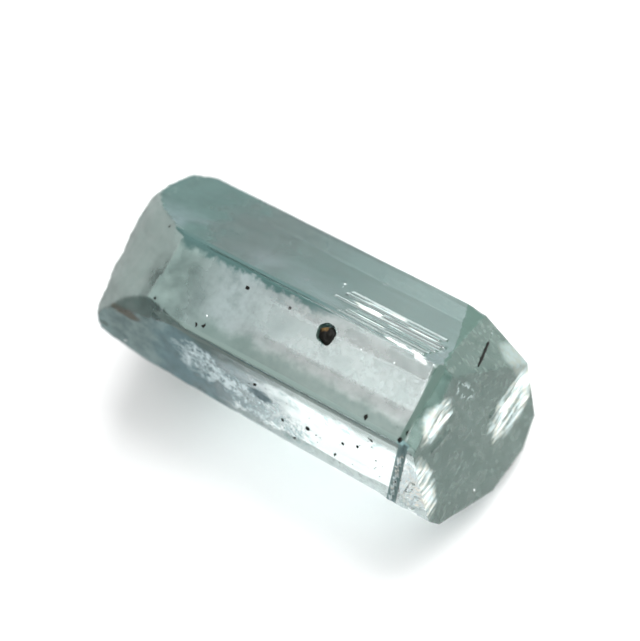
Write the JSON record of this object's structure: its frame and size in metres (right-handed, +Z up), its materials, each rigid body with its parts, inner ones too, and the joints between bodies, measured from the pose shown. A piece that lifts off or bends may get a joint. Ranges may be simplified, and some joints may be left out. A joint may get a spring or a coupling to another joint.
{
  "type": "aquamarine crystal",
  "caption": "Pale blue-green hexagonal crystal lying on one prism face, with a faceted end, a rough broken end and a dark mineral grain set in its upper face.",
  "frame": {"origin": "centre of the crystal's footprint box, on the plane that its lower prism face rests on", "axes": "+X along the crystal's long axis towards the faceted end, +Z up away from the resting face"},
  "size_m": [0.0184, 0.0086, 0.0115],
  "materials": {
    "beryl": "clear",
    "dark_mineral": "matt"
  },
  "bodies": {
    "root": {"crystal": "beryl", "dark_grain": "dark_mineral"}
  },
  "joints": []
}
